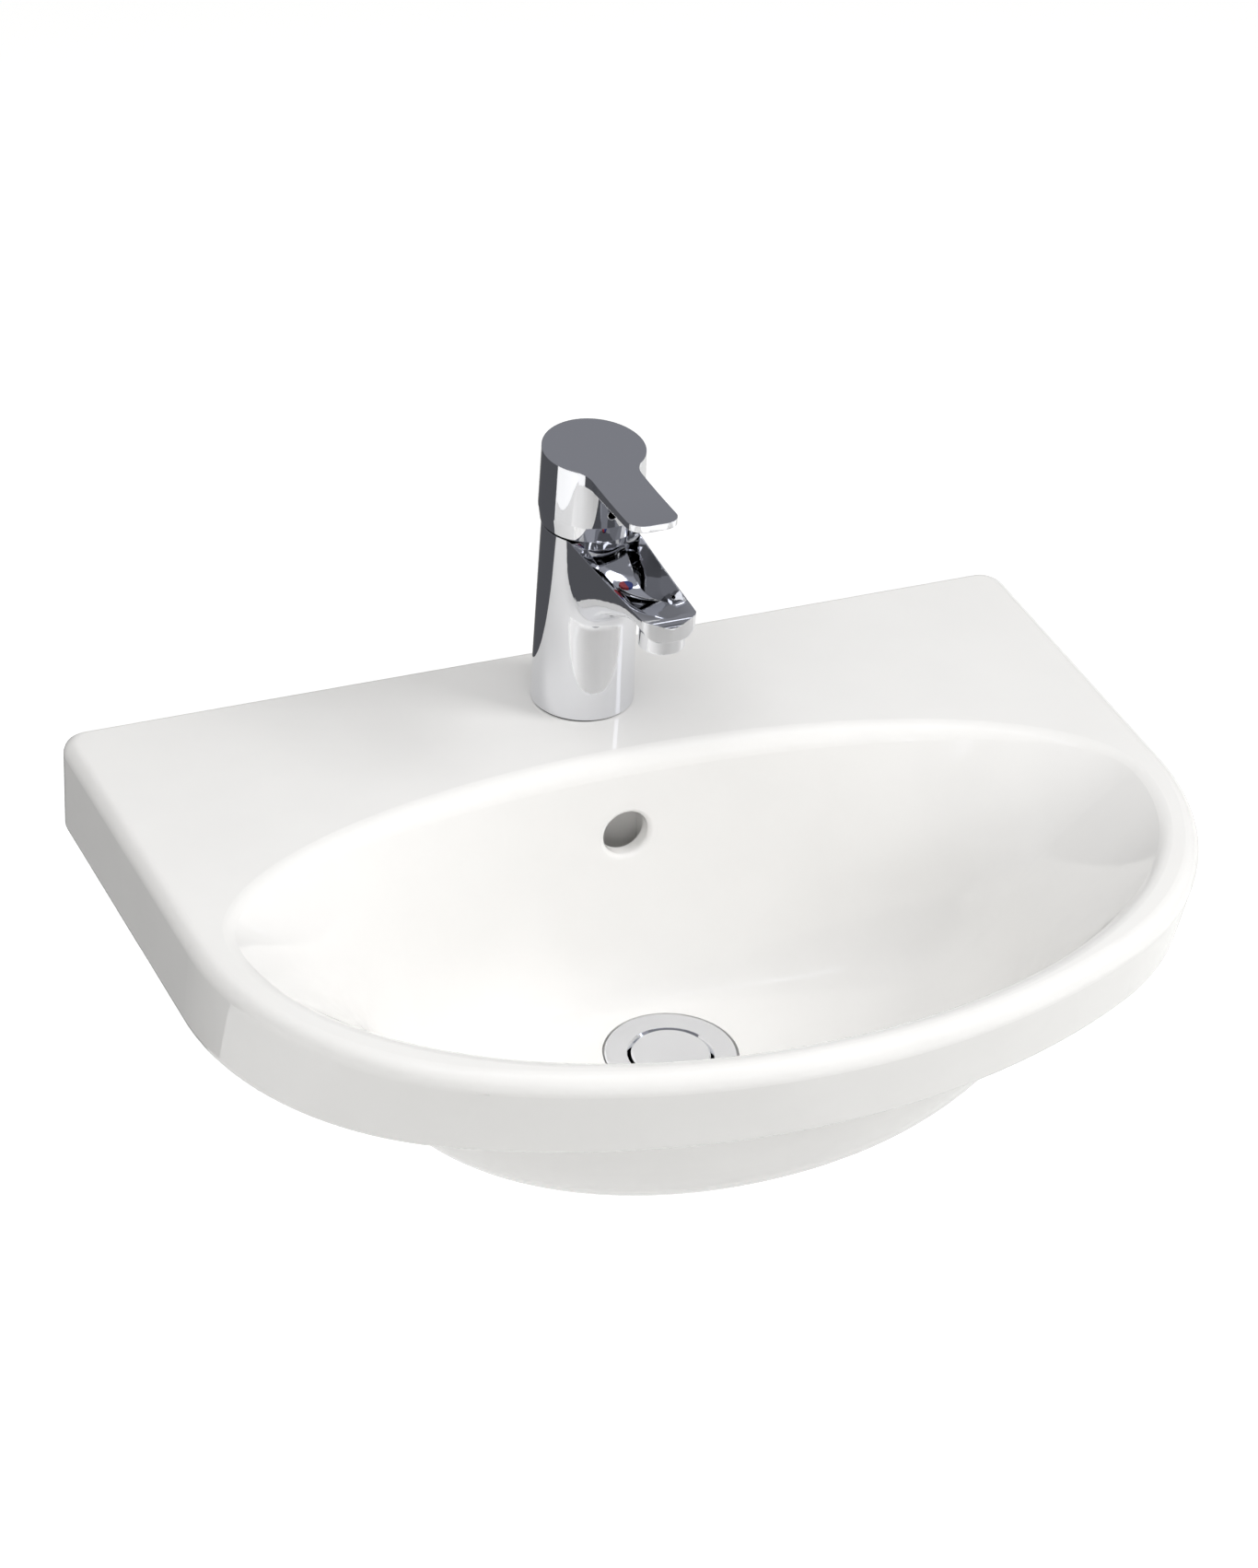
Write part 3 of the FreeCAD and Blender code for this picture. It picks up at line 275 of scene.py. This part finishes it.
# %% White paper
paper, tree, place = start_material("white_studio_paper")
paper_lift = 0.55
glow = add_node(tree, "ShaderNodeMath", {"operation": "MULTIPLY"}, _0=seen_directly(tree), _1=paper_lift)
fibre = add_node(tree, "ShaderNodeBsdfDiffuse", Color=linear("#f0f0ef"))
lift = add_node(tree, "ShaderNodeEmission", Strength=glow.outputs[0])
both = add_node(tree, "ShaderNodeAddShader", _0=fibre.outputs[0], _1=lift.outputs[0])
add_node(tree, "ShaderNodeOutputMaterial", Surface=both.outputs[0])
floor_z = -0.8
floor_half = 30.0
flat_sheet("studio_floor", [(-floor_half, -floor_half, floor_z), (floor_half, -floor_half, floor_z),
                            (floor_half, floor_half, floor_z), (-floor_half, floor_half, floor_z)], paper)

# %% White sky
sky_light = 0.5
sky = bpy.data.worlds.new("studio_sky")
sky.use_nodes = True
sky.node_tree.nodes.clear()
level = add_node(sky.node_tree, "ShaderNodeMapRange", Value=seen_directly(sky.node_tree), To_Min=sky_light,
                 To_Max=1.0)
dome = add_node(sky.node_tree, "ShaderNodeBackground", Strength=level.outputs["Result"])
add_node(sky.node_tree, "ShaderNodeOutputWorld", Surface=dome.outputs[0])
scene.world = sky
print("sky gives light at", sky_light)

# %% [markdown]
# ## Grey cards for the chrome
# A mirror in a white room is white. The chrome in the photograph has grey and nearly black bands, because
# the studio around it is dim. A photographer hangs grey cards out of view for this. Here the cards form a
# loose room that only reflections can see, darker in front and behind and lighter to the right, so the
# light on the china stays as it is. The upright cards get lighter with height. The card below the basin
# and the low one behind it on the right get lighter away from one spot instead, so that their edges don't
# show in the glaze. Three bright strips give the thin lines along round edges.

# %% A card that only mirrors see
fade_reach = 0.6
cool = "#eef0fa"
neutral = "#f8f8f6"


def card(name, corners, first_grey, last_grey, tint, middle=None):
    material, tree, place = start_material(name + "_grey")
    strength = first_grey
    if first_grey != last_grey:
        if middle:
            away = add_node(tree, "ShaderNodeVectorMath", {"operation": "DISTANCE"}, _0=place, _1=middle)
            reach = away.outputs["Value"]
        else:
            reach = add_node(tree, "ShaderNodeSeparateXYZ", Vector=place).outputs["Z"]
        fade = add_node(tree, "ShaderNodeMapRange", Value=reach, From_Max=fade_reach, To_Min=first_grey,
                        To_Max=last_grey)
        strength = fade.outputs["Result"]
    glow = add_node(tree, "ShaderNodeEmission", Color=linear(tint), Strength=strength)
    add_node(tree, "ShaderNodeOutputMaterial", Surface=glow.outputs[0])
    sheet = flat_sheet(name, corners, material)
    sheet.visible_camera = False
    sheet.visible_diffuse = False
    sheet.visible_shadow = False
    sheet.visible_transmission = False


def upright(name, start, end, low, high, first_grey, last_grey, tint=cool, middle=None):
    corners = [(*start, low), (*end, low), (*end, high), (*start, high)]
    card(name, corners, first_grey, last_grey, tint, middle)


def level_card(name, near_left, far_right, z, first_grey, last_grey, tint=cool):
    (x0, y0), (x1, y1) = near_left, far_right
    middle = ((x0 + x1) / 2, (y0 + y1) / 2, z)
    card(name, [(x0, y0, z), (x1, y0, z), (x1, y1, z), (x0, y1, z)], first_grey, last_grey, tint, middle)


print("a card's grey changes over", fade_reach, "m")

# %% The dim room
side = 2.4
front = -3.4
back = 0.5
top = 2.6
gap_z = 0.12
dark_spot_z = -0.24
below_z = -0.4
upright("card_behind_left", (-side, back), (0, back), floor_z, top, 0.1, 0.27)
upright("card_behind_right", (0, back), (side, back), gap_z, top, 0.14, 0.27)
upright("card_left", (-side, front), (-side, back), 0, top, 0.12, 0.2)
upright("card_right", (side, front), (side, back), 0, top, 0.3, 0.4)
upright("card_front", (-side, front), (side, front), 0, top, 0.03, 0.1)
level_card("card_above", (-side, front), (side, back), top, 0.25, 0.25)
upright("card_low_right", (0, back), (side, back), floor_z, gap_z, 0.12, 0.9, neutral, (0, back, dark_spot_z))
level_card("card_below", (-0.6, -0.6), (0.8, 0.2), below_z, 0.8, 1.12, neutral)

# %% Bright strips
in_front_of_card = 0.05
strip_y = front + in_front_of_card
strip_x = side - 2 * in_front_of_card
upright("strip_front", (-1.2, strip_y), (1.6, strip_y), 1.0, 1.35, 1.6, 1.6)
upright("strip_right", (strip_x, -1.5), (strip_x, -0.9), 1.0, 2.4, 3.0, 3.0)
level_card("strip_above", (-1.0, -0.5), (1.0, -0.2), top - in_front_of_card, 1.8, 1.8)

# %% [markdown]
# ## Lamps
# The main light in the photograph comes from the right and the front, high up, and is soft. A point lamp
# would draw hard shadows, so three square softboxes light the basin: the main one, a weak one above and a
# weak one in front. They are kept out of reflections, because the real glaze shows no hard-edged lamp in
# the bowl.

# %% Soft lamps
def softbox(name, place, width, height, watts):
    lamp = bpy.data.lights.new(name, "AREA")
    lamp.shape = "RECTANGLE"
    lamp.size = width
    lamp.size_y = height
    lamp.energy = watts
    box = bpy.data.objects.new(name, lamp)
    scene.collection.objects.link(box)
    box.location = place
    box.rotation_euler = (bowl_middle - Vector(place)).to_track_quat("-Z", "Y").to_euler()
    box.visible_glossy = False
    print(name, watts, "W")


bowl_middle = Vector((0, -0.23, -0.05))
softbox("main_softbox", (2.1, -1.6, 1.75), 1.2, 1.2, 46)
softbox("top_softbox", (-0.7, -0.7, 2.2), 1.8, 1.8, 22)
softbox("front_fill", (-1.4, -3.0, 0.7), 1.6, 1.2, 14)
